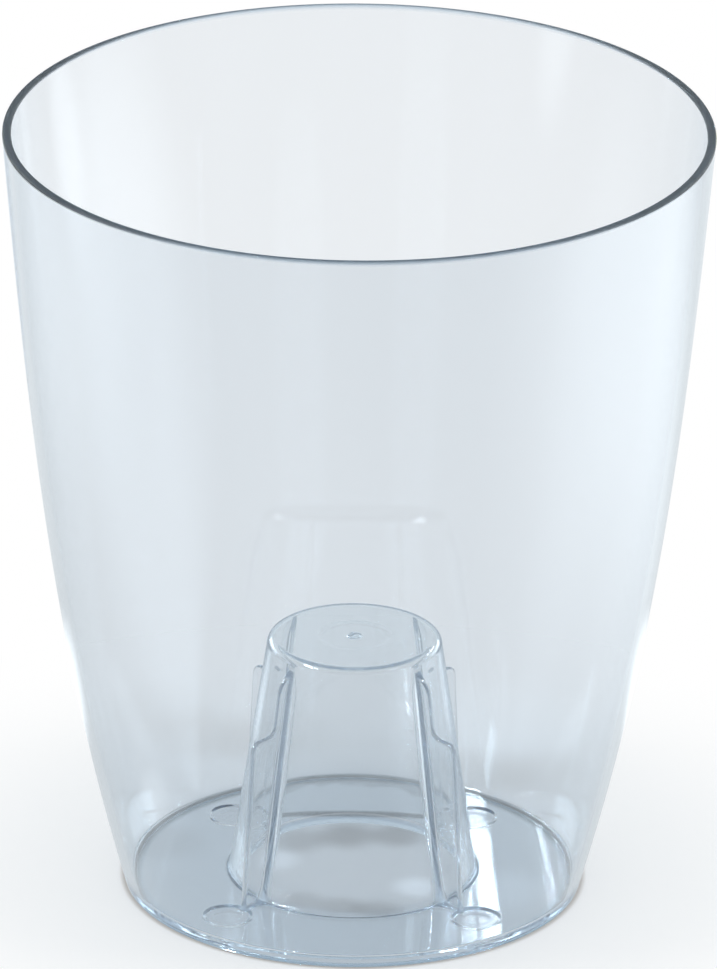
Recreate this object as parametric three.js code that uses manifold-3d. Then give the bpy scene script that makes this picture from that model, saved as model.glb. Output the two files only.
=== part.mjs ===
import * as THREE from "three";
import * as BufferGeometryUtils from "three/addons/utils/BufferGeometryUtils.js";
import Module from "manifold-3d";

// A clear plastic orchid pot: a tapered cup whose floor rises into a hollow pedestal with four
// stepped ribs. Lengths are millimetres and Z is up. The pot stands on Z = 0 around the Z axis.
// Flat joints between neighbours touch exactly, and a rib's curved root keeps ROOT_GAP.

// The cup
const POT_HEIGHT = 143.5;
const MOUTH_DIAMETER = 126;
const BASE_DIAMETER = 81.8;
const MOUTH_LEAN = THREE.MathUtils.degToRad(4.9);
const BASE_LEAN = THREE.MathUtils.degToRad(16);
const WALL = 1.6;
const RIM_DEPTH = 3;
const RIM_ROUND = 0.5;
const CORNER_FILLET = 1;

// The floor and what it stands on
const FLOOR_THICKNESS = 1.4;
const FLOOR_CLEARANCE = 0.5;
const STANDING_EDGE_BREAK = 0.3;
const FOOT_DIAMETER = 9;
const FOOT_INSET = 9.9;
const FOOT_ROUND = 0.3;
const DIMPLE_DEPTH = 0.5;

// The pedestal
const PEDESTAL_RISE = 45;
const PEDESTAL_TOP_DIAMETER = 31.4;
const PEDESTAL_FOOT_DIAMETER = 44.4;
const PEDESTAL_TOP_THICKNESS = 1.6;
const PEDESTAL_TOP_ROUND = 1.5;
const PEDESTAL_FOOT_FILLET = 1;
const GATE_RECESS_DIAMETER = 12.6;
const GATE_RECESS_DEPTH = 0.3;
const GATE_MARK_DIAMETER = 3;
const GATE_MARK_HEIGHT = 0.2;

// The ribs, with their widths measured out from the pedestal's side
const RIB_COUNT = 4;
const FIRST_RIB_ANGLE = Math.PI / 4;
const RIB_THICKNESS = 1.1;
const RIB_FOOT_WIDTH = 5.4;
const RIB_SHOULDER_WIDTH = 8.1;
const RIB_SHOULDER_RISE = 31.6;
const RIB_SHOULDER_ROUND = 1.5;
const RIB_RIDGE_WIDTH = 2.85;
const RIB_RIDGE_FILLET = 1.2;
const RIB_TOP_SETBACK = 0.5;
const RIB_TOP_CURVE = 4.2;
const RIB_TOP_DROP = 1.3;
const ROOT_GAP = 0.3;

// How finely the round forms are drawn
const TURN_STEPS = 72;
const FOOT_STEPS = 24;
const WALL_STEPS = 9;
const ROUND_STEPS = 4;

// Levels and radii that follow from the sizes above
const floorUnderside = FLOOR_CLEARANCE;
const floorTop = floorUnderside + FLOOR_THICKNESS;
const rimBase = POT_HEIGHT - RIM_DEPTH;
const baseRadius = BASE_DIAMETER / 2;
const mouthRadius = MOUTH_DIAMETER / 2;
const pedestalTopLevel = floorTop + PEDESTAL_RISE;
const pedestalCapLevel = pedestalTopLevel - PEDESTAL_TOP_THICKNESS;
const pedestalFootRadius = PEDESTAL_FOOT_DIAMETER / 2;
const pedestalTopRadius = PEDESTAL_TOP_DIAMETER / 2;
const hollowFootRadius = pedestalFootRadius - WALL;
const hollowTopRadius = pedestalTopRadius - WALL;
const footRadius = FOOT_DIAMETER / 2;
const footPitchRadius = baseRadius - FOOT_INSET;
const shoulderLevel = floorTop + RIB_SHOULDER_RISE;

const wasm = await Module();
wasm.setup();

const clearPlastic = {
  color: 0xdde5ea,
  roughness: 0.08,
  metalness: 0,
  transparent: true,
  opacity: 0.35,
};

// The cup's outer radius at height z: one cubic between the base and the mouth, which leaves
// the base at BASE_LEAN and reaches the mouth at MOUTH_LEAN, both measured from upright.
function cupRadius(z) {
  const t = z / POT_HEIGHT;
  const baseSlope = Math.tan(BASE_LEAN) * POT_HEIGHT;
  const mouthSlope = Math.tan(MOUTH_LEAN) * POT_HEIGHT;
  const baseShare = 2 * t ** 3 - 3 * t ** 2 + 1;
  const mouthShare = 3 * t ** 2 - 2 * t ** 3;
  const baseBend = t ** 3 - 2 * t ** 2 + t;
  const mouthBend = t ** 3 - t ** 2;
  return (
    baseShare * baseRadius +
    mouthShare * mouthRadius +
    baseBend * baseSlope +
    mouthBend * mouthSlope
  );
}

// The pedestal's outer radius at height z: a straight cone from the floor to its flat top.
function pedestalRadius(z) {
  const share = (z - floorTop) / (pedestalCapLevel - floorTop);
  return THREE.MathUtils.lerp(pedestalFootRadius, pedestalTopRadius, share);
}

// Evenly spaced heights from low to high, both included.
function levels(low, high, steps) {
  return Array.from({ length: steps + 1 }, (_, i) => THREE.MathUtils.lerp(low, high, i / steps));
}

// Points of an arc in the profile plane, from one angle to another, both included.
function arc(centreR, centreZ, radius, fromAngle, toAngle) {
  return levels(fromAngle, toAngle, ROUND_STEPS).map((angle) => [
    centreR + radius * Math.cos(angle),
    centreZ + radius * Math.sin(angle),
  ]);
}

// A ring or disc turned round the Z axis. The profile runs anticlockwise as [radius, height]
// pairs. A ring's profile is closed here, and a disc's starts and ends on the axis.
function turned(profile, steps = TURN_STEPS) {
  const points = profile.map(([r, z]) => new THREE.Vector2(r, z));
  const onAxis = points[0].x === 0 && points.at(-1).x === 0;
  if (!onAxis) {
    points.push(points[0].clone());
  }
  const geometry = new THREE.LatheGeometry(points, steps);
  geometry.rotateX(Math.PI / 2);
  return geometry;
}

// The geometry as a solid that can be cut, with its shared vertices merged.
function toSolid(geometry) {
  const bare = geometry.clone();
  bare.deleteAttribute("normal");
  bare.deleteAttribute("uv");
  const merged = BufferGeometryUtils.mergeVertices(bare);
  const vertProperties = new Float32Array(merged.getAttribute("position").array);
  const triVerts = new Uint32Array(merged.getIndex().array);
  return new wasm.Manifold(new wasm.Mesh({ numProp: 3, vertProperties, triVerts }));
}

// A cut solid back as a geometry.
function toGeometry(solid) {
  const { vertProperties, triVerts } = solid.getMesh();
  const geometry = new THREE.BufferGeometry();
  geometry.setAttribute("position", new THREE.BufferAttribute(vertProperties, 3));
  geometry.setIndex(new THREE.BufferAttribute(triVerts, 1));
  geometry.computeVertexNormals();
  return geometry;
}

// A named piece of the pot with its own clear plastic.
function piece(name, geometry) {
  const mesh = new THREE.Mesh(geometry, new THREE.MeshStandardMaterial(clearPlastic));
  mesh.name = name;
  return mesh;
}

// The rib angles, which the feet share.
function ribAngles() {
  return Array.from(
    { length: RIB_COUNT },
    (_, i) => FIRST_RIB_ANGLE + (i * 2 * Math.PI) / RIB_COUNT,
  );
}

// The side wall from the floor to the rim, with a fillet where it meets the floor inside.
function sideWall() {
  const filletTop = floorTop + CORNER_FILLET;
  const outside = levels(floorTop, rimBase, WALL_STEPS).map((z) => [cupRadius(z), z]);
  const inside = levels(filletTop, rimBase, WALL_STEPS).map((z) => [cupRadius(z) - WALL, z]);
  const filletEnd = cupRadius(filletTop) - WALL;
  const fillet = arc(filletEnd - CORNER_FILLET, filletTop, CORNER_FILLET, 0, -Math.PI / 2);
  return turned([...outside, ...inside.reverse(), ...fillet.slice(1)]);
}

// The top band of the wall, which ends in two small rounds.
function rim() {
  const roundLevel = POT_HEIGHT - RIM_ROUND;
  const outer = cupRadius(roundLevel);
  const inner = outer - WALL;
  return turned([
    [cupRadius(rimBase) - WALL, rimBase],
    [cupRadius(rimBase), rimBase],
    ...arc(outer - RIM_ROUND, roundLevel, RIM_ROUND, 0, Math.PI / 2),
    ...arc(inner + RIM_ROUND, roundLevel, RIM_ROUND, Math.PI / 2, Math.PI),
  ]);
}

// The floor, open in the middle under the pedestal, with a dimple pressed into it over each foot.
function floorPlate() {
  const plate = turned([
    [hollowFootRadius, floorUnderside],
    [cupRadius(floorUnderside), floorUnderside],
    [cupRadius(floorTop), floorTop],
    [hollowFootRadius, floorTop],
  ]);
  const dimpleLevel = floorTop - DIMPLE_DEPTH;
  let solid = toSolid(plate);
  for (const angle of ribAngles()) {
    const dimple = turned(
      [
        [0, dimpleLevel],
        [footRadius, dimpleLevel],
        [footRadius, floorTop + DIMPLE_DEPTH],
        [0, floorTop + DIMPLE_DEPTH],
      ],
      FOOT_STEPS,
    );
    const x = footPitchRadius * Math.cos(angle);
    const y = footPitchRadius * Math.sin(angle);
    dimple.translate(x, y, 0);
    solid = solid.subtract(toSolid(dimple));
  }
  return toGeometry(solid);
}

// The edge under the wall that the pot stands on.
function standingRing() {
  const outer = cupRadius(floorUnderside);
  return turned([
    [baseRadius - WALL, 0],
    [baseRadius - STANDING_EDGE_BREAK, 0],
    [cupRadius(STANDING_EDGE_BREAK), STANDING_EDGE_BREAK],
    [outer, floorUnderside],
    [outer - WALL, floorUnderside],
  ]);
}

// A low round foot under the floor, level with the standing ring.
function foot() {
  return turned(
    [
      [0, 0],
      ...arc(footRadius - FOOT_ROUND, FOOT_ROUND, FOOT_ROUND, -Math.PI / 2, 0),
      [footRadius, floorUnderside],
      [0, floorUnderside],
    ],
    FOOT_STEPS,
  );
}

// The pedestal's hollow side, with a fillet where it meets the floor outside.
function pedestalSide() {
  const filletTop = floorTop + PEDESTAL_FOOT_FILLET;
  const filletStart = pedestalRadius(filletTop);
  const fillet = arc(
    filletStart + PEDESTAL_FOOT_FILLET,
    filletTop,
    PEDESTAL_FOOT_FILLET,
    (3 * Math.PI) / 2,
    Math.PI,
  );
  return turned([
    [hollowFootRadius, floorTop],
    ...fillet,
    [pedestalTopRadius, pedestalCapLevel],
    [hollowTopRadius, pedestalCapLevel],
  ]);
}

// The pedestal's flat top, with the moulding's gate mark in a shallow round recess.
function pedestalTop() {
  const recessRadius = GATE_RECESS_DIAMETER / 2;
  const recessLevel = pedestalTopLevel - GATE_RECESS_DEPTH;
  const markRadius = GATE_MARK_DIAMETER / 2;
  const roundRadius = pedestalTopRadius - PEDESTAL_TOP_ROUND;
  const roundLevel = pedestalTopLevel - PEDESTAL_TOP_ROUND;
  return turned([
    [0, pedestalCapLevel],
    [pedestalTopRadius, pedestalCapLevel],
    ...arc(roundRadius, roundLevel, PEDESTAL_TOP_ROUND, 0, Math.PI / 2),
    [recessRadius, pedestalTopLevel],
    [recessRadius - GATE_RECESS_DEPTH, recessLevel],
    [markRadius, recessLevel],
    [markRadius - GATE_MARK_HEIGHT, recessLevel + GATE_MARK_HEIGHT],
    [0, recessLevel + GATE_MARK_HEIGHT],
  ]);
}

// One rib's outline in the plane through the axis, as radius across and height up: the lower
// blade up to its shoulder, and above it a ridge that runs out at the pedestal's top.
function ribOutline() {
  const root = (z) => pedestalRadius(z) + ROOT_GAP;
  const filletTop = floorTop + PEDESTAL_FOOT_FILLET;
  const footEnd = pedestalRadius(floorTop) + RIB_FOOT_WIDTH;
  const shoulderEnd = pedestalRadius(shoulderLevel) + RIB_SHOULDER_WIDTH;
  const ridge = (z) => pedestalRadius(z) + RIB_RIDGE_WIDTH;
  const ribTop = pedestalCapLevel - RIB_TOP_SETBACK;
  const curveStart = ribTop - RIB_TOP_CURVE;
  const curvePull = ribTop - RIB_TOP_DROP;
  const filletRise = shoulderLevel + RIB_RIDGE_FILLET;
  const bladeLean = (footEnd - shoulderEnd) / RIB_SHOULDER_RISE;
  const cornerDrop = shoulderLevel - RIB_SHOULDER_ROUND;

  const outline = new THREE.Shape();
  outline.moveTo(root(filletTop) + PEDESTAL_FOOT_FILLET, floorTop);
  outline.lineTo(footEnd, floorTop);
  outline.lineTo(shoulderEnd + bladeLean * RIB_SHOULDER_ROUND, cornerDrop);
  outline.quadraticCurveTo(
    shoulderEnd,
    shoulderLevel,
    shoulderEnd - RIB_SHOULDER_ROUND,
    shoulderLevel,
  );
  outline.lineTo(ridge(shoulderLevel) + RIB_RIDGE_FILLET, shoulderLevel);
  outline.quadraticCurveTo(ridge(shoulderLevel), shoulderLevel, ridge(filletRise), filletRise);
  outline.lineTo(ridge(curveStart), curveStart);
  outline.quadraticCurveTo(ridge(curvePull), curvePull, root(ribTop), ribTop);
  outline.lineTo(root(filletTop), filletTop);
  outline.closePath();
  return outline;
}

// A rib standing in the XZ plane, half its thickness to each side.
function rib() {
  const geometry = new THREE.ExtrudeGeometry(ribOutline(), {
    depth: RIB_THICKNESS,
    bevelEnabled: false,
    curveSegments: ROUND_STEPS,
  });
  geometry.translate(0, 0, -RIB_THICKNESS / 2);
  geometry.rotateX(Math.PI / 2);
  return geometry;
}

// The four ribs and the four feet, one of each at every rib angle.
function ribsAndFeet() {
  const group = new THREE.Group();
  ribAngles().forEach((angle, i) => {
    const stand = new THREE.Group();
    stand.rotation.z = angle;
    stand.add(piece(`rib_${i + 1}`, rib()));
    const footPiece = piece(`foot_${i + 1}`, foot());
    footPiece.position.x = footPitchRadius;
    stand.add(footPiece);
    group.add(stand);
  });
  return group;
}

const group = new THREE.Group();
group.add(
  piece("side_wall", sideWall()),
  piece("rim", rim()),
  piece("floor_plate", floorPlate()),
  piece("standing_ring", standingRing()),
  piece("pedestal_side", pedestalSide()),
  piece("pedestal_top", pedestalTop()),
  ribsAndFeet(),
);

export default group;
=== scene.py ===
"""Dresses the clear plastic orchid pot and sets up its studio picture.

The pot is one injection moulding. Here its cup, floor, pedestal, ribs and feet are patches of one
closed surface, because any face inside clear plastic would show. The pot's shapes are worked out in
millimetres and become metres where the mesh is made. Its finish and the studio are in metres. Z is
up and the pot stands on Z = 0.
"""

import logging
import math
from dataclasses import dataclass, field
from enum import Enum

import bmesh
import bpy
import numpy as np
from mathutils import Matrix, Vector
from mathutils.geometry import delaunay_2d_cdt

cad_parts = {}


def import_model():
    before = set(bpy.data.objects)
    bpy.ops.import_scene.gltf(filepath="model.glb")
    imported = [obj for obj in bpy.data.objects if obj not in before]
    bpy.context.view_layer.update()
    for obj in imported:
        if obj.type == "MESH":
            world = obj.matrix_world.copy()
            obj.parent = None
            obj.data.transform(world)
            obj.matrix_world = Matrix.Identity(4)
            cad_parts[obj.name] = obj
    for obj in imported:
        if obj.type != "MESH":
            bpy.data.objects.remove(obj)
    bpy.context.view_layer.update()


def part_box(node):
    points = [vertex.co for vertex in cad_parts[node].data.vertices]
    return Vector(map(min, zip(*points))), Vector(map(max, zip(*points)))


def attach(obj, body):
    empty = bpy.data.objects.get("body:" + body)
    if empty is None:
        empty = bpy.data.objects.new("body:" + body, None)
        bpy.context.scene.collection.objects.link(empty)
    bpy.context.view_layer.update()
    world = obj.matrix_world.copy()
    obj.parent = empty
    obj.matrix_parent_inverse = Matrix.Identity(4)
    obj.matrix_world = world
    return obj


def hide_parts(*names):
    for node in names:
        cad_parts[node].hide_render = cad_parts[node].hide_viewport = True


MM = 0.001
LOG = logging.getLogger("orchid_pot")
NODES = (
    "side_wall", "rim", "floor_plate", "standing_ring", "pedestal_side", "pedestal_top",
    "rib_1", "rib_2", "rib_3", "rib_4", "foot_1", "foot_2", "foot_3", "foot_4",
)
# The angles at which the four ribs and feet lie.
QUARTERS = np.pi / 4 + np.arange(4) * np.pi / 2

Span = tuple[float, float]
Tone = tuple[float, float, float]
Pool = tuple[float, float, float, float]
# A wire is a node's socket, and a source is what an input can take.
Wire = bpy.types.NodeSocket
Tree = bpy.types.NodeTree
Source = Wire | float | tuple[float, ...] | Vector

# The share of a pool's radius, and of a line's half width, that keeps the full strength.
POOL_CORE = 0.25
LINE_CORE = 0.3


class Socket(Enum):
    """The kinds of socket that this file's node groups have."""

    VALUE = "NodeSocketFloat"
    VECTOR = "NodeSocketVector"
    COLOUR = "NodeSocketColor"


class Side(Enum):
    """Which side of the pot a studio lamp stands on, as the sign of its X."""

    LEFT = -1.0
    RIGHT = 1.0


@dataclass(frozen=True)
class Patch:
    """A part of the surface: points of shape (n, 3) and faces as rows of point numbers."""

    points: np.ndarray
    faces: np.ndarray


def node_box(node: str) -> tuple[np.ndarray, np.ndarray]:
    """Returns a CAD node's lowest and highest corners in millimetres."""
    low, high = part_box(node)
    return np.array(low) / MM, np.array(high) / MM


def from_cad(node: str, corner: int, axis: int = 2) -> float:
    """Returns a field that takes one coordinate of a CAD box, at its low corner 0 or high corner 1."""
    return field(default_factory=lambda: float(node_box(node)[corner][axis]))


def unit(vectors: np.ndarray) -> np.ndarray:
    """Returns the vectors of the last axis at length 1."""
    return vectors / np.linalg.norm(vectors, axis=-1, keepdims=True)


def smooth_step(value: np.ndarray, span: Span) -> np.ndarray:
    """Returns 3s^2 - 2s^3, where s goes from 0 to 1 as the value goes through the span."""
    share = np.clip((value - span[0]) / (span[1] - span[0]), 0.0, 1.0)
    return share * share * (3.0 - 2.0 * share)


def shares(steps: int) -> np.ndarray:
    """Returns evenly spaced numbers from 0 to 1."""
    return np.linspace(0.0, 1.0, steps + 1)


def curved(start: np.ndarray, pull: np.ndarray, end: np.ndarray, share: np.ndarray) -> np.ndarray:
    """Returns the points start (1 - t)^2 + 2 pull t (1 - t) + end t^2 at the shares t."""
    return start * (1 - share) ** 2 + pull * 2 * share * (1 - share) + end * share**2


def full_turn(steps: int) -> np.ndarray:
    """Returns evenly spaced angles round a full turn, without repeating the first."""
    return np.arange(steps) * (2.0 * np.pi / steps)


def around(angles: np.ndarray) -> np.ndarray:
    """Returns the point of the unit circle at each angle, of shape (n, 2)."""
    return np.stack([np.cos(angles), np.sin(angles)], axis=1)


def outward(outline: np.ndarray) -> np.ndarray:
    """Returns the outward unit normal at each point of a closed outline that runs anticlockwise."""
    along = np.roll(outline, -1, axis=0) - np.roll(outline, 1, axis=0)
    return unit(np.stack([along[:, 1], -along[:, 0]], axis=1))


def placed(name: str, data: bpy.types.ID) -> bpy.types.Object:
    """Makes an object at the origin and puts it into the scene.

    Args:
        name: Its name.
        data: Its mesh, lamp or camera.

    Returns:
        The object.
    """
    made = bpy.data.objects.new(name, data)
    bpy.context.scene.collection.objects.link(made)
    return made


def rounded(
    corners: list[tuple[float, float]],
    radii: list[float],
    steps: int = 6,
    support: float = 0.12,
) -> np.ndarray:
    """Rounds the inner corners of an open line of straight runs.

    At each corner the arc's centre lies on the bisector, radius / sin(half angle) away, and the
    arc touches both runs radius / tan(half angle) from the corner. A support point on each run,
    just outside the arc, keeps the flat runs shaded flat.

    Args:
        corners: The line's corners, first and last included.
        radii: One radius for each inner corner.
        steps: Steps in each arc.
        support: How far outside the arc its support points lie.

    Returns:
        The rounded line's points, of shape (n, 2).
    """
    line = np.array(corners, float)
    radius = np.array(radii, float)[:, None]
    here = line[1:-1]
    to_before = unit(line[:-2] - here)
    to_after = unit(line[2:] - here)
    half = np.arccos(np.clip((to_before * to_after).sum(1), -1.0, 1.0))[:, None] / 2.0
    reach = radius / np.tan(half)
    centre = here + unit(to_before + to_after) * radius / np.sin(half)
    start = here + to_before * reach
    end = here + to_after * reach
    sweep = (np.pi - 2.0 * half)[..., None]
    share = shares(steps)[None, :, None]
    arcs = centre[:, None] + (
        (start - centre)[:, None] * np.sin((1.0 - share) * sweep)
        + (end - centre)[:, None] * np.sin(share * sweep)
    ) / np.sin(sweep)
    lead_in = (start + to_before * support)[:, None]
    lead_out = (end + to_after * support)[:, None]
    runs = np.concatenate([lead_in, arcs, lead_out], axis=1).reshape(-1, 2)
    return np.vstack([line[:1], runs, line[-1:]])


def turned(profile: np.ndarray, angles: np.ndarray) -> np.ndarray:
    """Carries a profile round the Z axis: x = r cos a, y = r sin a, z = z.

    Args:
        profile: Radius and height of each row, of shape (rows, 2).
        angles: The angle of each column.

    Returns:
        The grid of points, of shape (rows, columns, 3).
    """
    radius = profile[:, :1]
    height = np.broadcast_to(profile[:, 1:], (len(profile), len(angles)))
    return np.stack([radius * np.cos(angles), radius * np.sin(angles), height], axis=-1)


def closed_grid(points: np.ndarray) -> Patch:
    """Joins a grid of points with four-sided faces, closed round its columns.

    Args:
        points: The grid, of shape (rows, columns, 3).

    Returns:
        The patch.
    """
    rows, columns = points.shape[:2]
    here = np.arange(rows * columns).reshape(rows, columns)
    beside = np.roll(here, -1, axis=1)
    faces = np.stack([here[:-1], beside[:-1], beside[1:], here[1:]], axis=-1)
    return Patch(points.reshape(-1, 3), faces.reshape(-1, 4))


def inside_outline(points: np.ndarray, outline: np.ndarray) -> np.ndarray:
    """Tells which points lie inside a closed outline, by counting the edges to their right.

    Args:
        points: Points of shape (n, 2).
        outline: The outline's corners in order, of shape (m, 2).

    Returns:
        One truth value for each point.
    """
    x, y = points[:, :1], points[:, 1:]
    ax, ay = outline[:, 0], outline[:, 1]
    bx, by = np.roll(ax, -1), np.roll(ay, -1)
    spans = (ay > y) != (by > y)
    rise = np.where(by == ay, 1.0, by - ay)
    crossing = ax + (y - ay) / rise * (bx - ax)
    return ((spans & (x < crossing)).sum(1) % 2).astype(bool)


def outline_distance(points: np.ndarray, outline: np.ndarray) -> np.ndarray:
    """Returns each point's distance to the nearest corner of the outline."""
    gaps = points[:, None] - outline[None]
    return np.sqrt((gaps**2).sum(-1)).min(1)


def filled(outer: np.ndarray, inner: np.ndarray, inside: np.ndarray) -> tuple[np.ndarray, np.ndarray]:
    """Fills the region between two closed outlines with Delaunay triangles.

    Args:
        outer: The outer outline, of shape (n, 2).
        inner: The hole's outline, of shape (m, 2).
        inside: Further points that the triangles use, of shape (k, 2).

    Returns:
        The points, of shape (p, 2), and the triangles, of shape (t, 3).
    """
    first = np.arange(len(outer))
    second = len(outer) + np.arange(len(inner))
    edges = np.vstack([np.stack([ring, np.roll(ring, -1)], axis=1) for ring in (first, second)])
    points = np.vstack([outer, inner, inside])
    made, _, triangles, *_ = delaunay_2d_cdt(
        [Vector(p) for p in points.tolist()], edges.tolist(), [], 0, 1e-6
    )
    flat = np.array([tuple(p) for p in made], float)
    faces = np.array(triangles, int)
    middle = flat[faces].mean(1)
    wanted = inside_outline(middle, outer) & ~inside_outline(middle, inner)
    return flat, faces[wanted]


@dataclass
class Cup:
    """The tapered cup: side wall, rim and the edge that the pot stands on."""

    height: float = from_cad("rim", 1)
    floor_top: float = from_cad("floor_plate", 1)
    underside: float = from_cad("floor_plate", 0)
    mouth_radius: float = 63.0
    base_radius: float = 40.9
    mouth_lean: float = math.radians(4.9)
    base_lean: float = math.radians(16.0)
    wall: float = 1.6
    rim_round: float = 0.77
    rim_reach: float = 2.0
    corner_fillet: float = 1.0
    corner_reach: float = 3.0
    standing_round: float = 0.3
    standing_break: float = 0.15
    skirt: float = 1.6
    ledge: float = 1.0
    row_gap: float = 1.0
    columns: int = 256
    wall_rows: int = 30

    def radius(self, z: np.ndarray) -> np.ndarray:
        """Works out the outer radius.

        One cubic runs from the base to the mouth. It leaves the base at base_lean and reaches
        the mouth at mouth_lean, both measured from upright.

        Args:
            z: The height, or heights.

        Returns:
            The radius at each height.
        """
        t = np.asarray(z, float) / self.height
        base_slope = math.tan(self.base_lean) * self.height
        mouth_slope = math.tan(self.mouth_lean) * self.height
        return (
            (2 * t**3 - 3 * t**2 + 1) * self.base_radius
            + (3 * t**2 - 2 * t**3) * self.mouth_radius
            + (t**3 - 2 * t**2 + t) * base_slope
            + (t**3 - t**2) * mouth_slope
        )

    def outer(self, z: float) -> tuple[float, float]:
        """Returns the outer wall's profile point at height z."""
        return float(self.radius(z)), z

    def inner(self, z: float) -> tuple[float, float]:
        """Returns the inner wall's profile point at height z."""
        return float(self.radius(z)) - self.wall, z

    @property
    def floor_edge(self) -> float:
        """The radius at which the floor's top hands over to the corner fillet."""
        return self.inner(self.floor_top)[0] - self.skirt

    @property
    def underside_edge(self) -> float:
        """The radius at which the floor's underside hands over to the standing edge."""
        return self.base_radius - self.wall - self.ledge

    def patch(self) -> Patch:
        """Makes the cup's surface by turning one profile round the axis.

        The profile runs over the floor's corner, up the inside, over the rim, down the outside and
        round the standing edge to the underside.

        Returns:
            The patch.
        """
        lowest = self.floor_top + self.corner_reach + self.row_gap
        highest = self.height - self.rim_reach - self.row_gap
        heights = np.linspace(lowest, highest, self.wall_rows)
        inside = np.stack([self.radius(heights) - self.wall, heights], axis=1)
        outside = np.stack([self.radius(heights), heights], axis=1)[::-1]
        corner = rounded(
            [
                (self.floor_edge, self.floor_top),
                self.inner(self.floor_top),
                self.inner(self.floor_top + self.corner_reach),
            ],
            [self.corner_fillet],
        )
        rim = rounded(
            [
                self.inner(self.height - self.rim_reach),
                self.inner(self.height),
                self.outer(self.height),
                self.outer(self.height - self.rim_reach),
            ],
            [self.rim_round, self.rim_round],
            steps=10,
            support=0.02,
        )
        foot = self.base_radius - self.wall
        standing = rounded(
            [
                self.outer(self.corner_reach),
                self.outer(0.0),
                (foot, 0.0),
                (foot, self.underside),
                (self.underside_edge, self.underside),
            ],
            [self.standing_round, self.standing_break, self.standing_break],
            support=0.05,
        )
        profile = np.vstack([corner, inside, rim, outside, standing])
        return closed_grid(turned(profile, full_turn(self.columns)))


@dataclass
class Floor:
    """The flat floor with a dimple at each rib's end and a low foot under each dimple."""

    level: float = from_cad("floor_plate", 1)
    underside: float = from_cad("floor_plate", 0)
    foot_box: tuple[np.ndarray, np.ndarray] = field(default_factory=lambda: node_box("foot_1"))
    dimple_depth: float = 0.5
    lip_drop: float = 0.6
    lip: Span = (0.82, 1.0)
    well: Span = (0.46, 0.6)
    foot_ease: Span = (0.78, 1.0)
    rings: tuple[float, ...] = (
        0.1, 0.25, 0.38, 0.45, 0.48, 0.51, 0.54, 0.57, 0.6, 0.64, 0.7, 0.76, 0.8, 0.83, 0.86,
        0.885, 0.91, 0.935, 0.96, 0.98, 1.0, 1.02, 1.05,
    )
    ring_columns: int = 64
    border: float = 0.15
    clearance: float = 0.3

    @property
    def foot_radius(self) -> float:
        """The radius of a foot and of the dimple above it."""
        return float(self.foot_box[1][0] - self.foot_box[0][0]) / 2.0

    def centres(self) -> np.ndarray:
        """Returns the four feet's middles, of shape (4, 2)."""
        middle = (self.foot_box[0][:2] + self.foot_box[1][:2]) / 2.0
        return float(np.linalg.norm(middle)) * around(QUARTERS)

    def share(self, flat: np.ndarray) -> np.ndarray:
        """Returns the distance to the nearest foot's middle, as a share of the foot's radius."""
        gaps = flat[..., None, :] - self.centres()
        return np.linalg.norm(gaps, axis=-1).min(-1) / self.foot_radius

    def top_height(self, flat: np.ndarray) -> np.ndarray:
        """Works out the floor's height: level, less a dimple with a step at its lip and one inside.

        Args:
            flat: Places on the floor, of shape (..., 2).

        Returns:
            The height at each place.
        """
        share = self.share(flat)
        lip = 1.0 - smooth_step(share, self.lip)
        well = 1.0 - smooth_step(share, self.well)
        return self.level - self.dimple_depth * (self.lip_drop * lip + (1.0 - self.lip_drop) * well)

    def under_height(self, flat: np.ndarray) -> np.ndarray:
        """Returns the underside's height: level, down to 0 at a flat foot with eased sides."""
        return self.underside * smooth_step(self.share(flat), self.foot_ease)

    def ring_points(self) -> np.ndarray:
        """Makes rings of points round each foot's middle, which the floor's triangles follow.

        Returns:
            The points, of shape (n, 2).
        """
        radii = np.array(self.rings) * self.foot_radius
        circle = around(full_turn(self.ring_columns))
        rings = self.centres()[:, None, None] + circle * radii[None, :, None, None]
        return np.vstack([rings.reshape(-1, 2), self.centres()])

    def top(self, foot: np.ndarray, edge: float, columns: int) -> Patch:
        """Fills the floor's top between the pedestal's foot and the cup's corner.

        Args:
            foot: The outline of the pedestal's foot on the floor, of shape (n, 2).
            edge: The radius at which the cup's corner begins.
            columns: The cup's columns.

        Returns:
            The patch.
        """
        circle = around(full_turn(columns))
        beside = foot + outward(foot) * self.border
        rings = self.ring_points()
        clear = ~inside_outline(rings, foot) & (outline_distance(rings, foot) > self.clearance)
        inside = np.vstack([beside, circle * (edge - self.border), rings[clear]])
        flat, faces = filled(circle * edge, foot, inside)
        return Patch(np.column_stack([flat, self.top_height(flat)]), faces)

    def under(self, hollow_edge: float, hollow_columns: int, edge: float, columns: int) -> Patch:
        """Fills the floor's underside between the hollow and the standing edge.

        Args:
            hollow_edge: The radius at which the hollow's edge begins.
            hollow_columns: The hollow's columns.
            edge: The radius at which the standing edge begins.
            columns: The cup's columns.

        Returns:
            The patch.
        """
        rim, hole = around(full_turn(columns)), around(full_turn(hollow_columns))
        borders = [rim * (edge - self.border), hole * (hollow_edge + self.border)]
        flat, faces = filled(rim * edge, hole * hollow_edge, np.vstack([*borders, self.ring_points()]))
        return Patch(np.column_stack([flat, self.under_height(flat)]), faces)


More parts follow.
